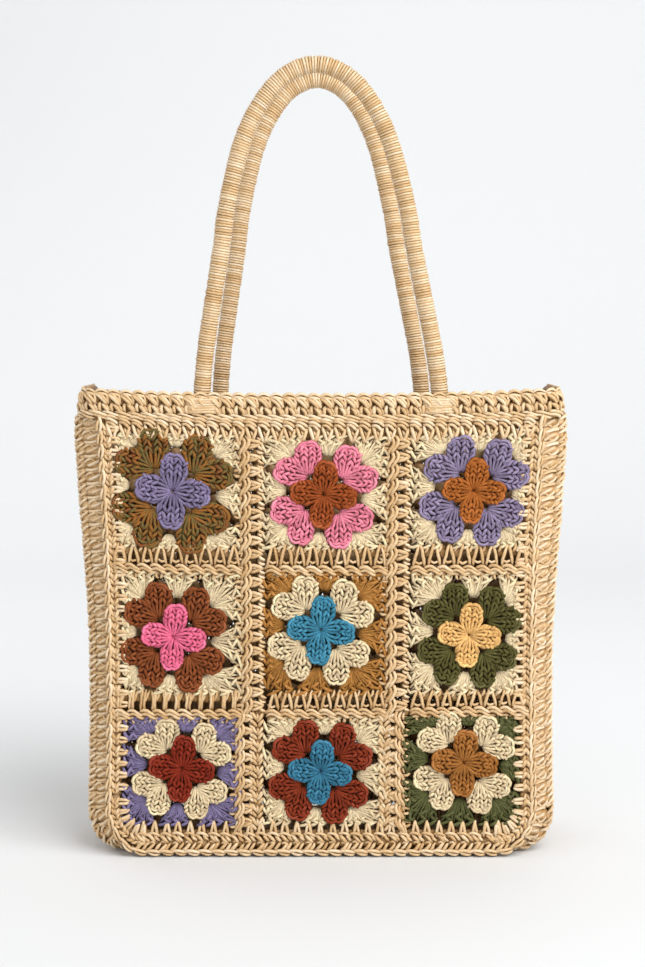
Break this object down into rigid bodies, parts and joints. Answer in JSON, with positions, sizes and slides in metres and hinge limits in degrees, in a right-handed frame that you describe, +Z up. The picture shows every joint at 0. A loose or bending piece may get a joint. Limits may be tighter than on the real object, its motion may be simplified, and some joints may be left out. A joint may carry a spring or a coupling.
{
  "type": "straw tote bag",
  "caption": "Open-mouthed straw tote bag, its front a grid of crocheted flower squares, with a ribbed gusset, a band round the rim and tall rope handles.",
  "frame": {"origin": "middle of the bag's base, on the floor", "axes": "+Z up, +X to the right as the flower-square front is seen, +Y from that front to the back"},
  "size_m": [0.3798, 0.1157, 0.632],
  "materials": {
    "straw": "satin",
    "yarn_lavender": "matte",
    "yarn_pink": "matte",
    "yarn_purple": "matte",
    "yarn_brown": "matte",
    "yarn_blue": "matte",
    "yarn_green": "matte",
    "yarn_rust": "matte",
    "yarn_brick": "matte",
    "yarn_ochre": "matte"
  },
  "bodies": {
    "root": {"square_r1c1": "yarn_lavender", "square_r1c2": "yarn_pink", "square_r1c3": "yarn_purple", "square_r2c1": "yarn_brown", "square_r2c2": "yarn_blue", "square_r2c3": "yarn_green", "square_r3c1": "yarn_rust", "square_r3c2": "yarn_brick", "square_r3c3": "yarn_ochre", "column_join_left": "straw", "column_join_right": "straw", "row_join_1_1": "straw", "row_join_1_2": "straw", "row_join_1_3": "straw", "row_join_2_1": "straw", "row_join_2_2": "straw", "row_join_2_3": "straw", "hem_row": "straw", "top_row": "straw", "front_seam": "straw", "back_seam": "straw", "back_panel": "straw", "gusset": "straw", "rim_band": "straw", "handle_front": "straw", "handle_back": "straw", "handle_tab_front_left": "straw", "handle_tab_front_right": "straw", "handle_tab_back_left": "straw", "handle_tab_back_right": "straw"}
  },
  "joints": []
}
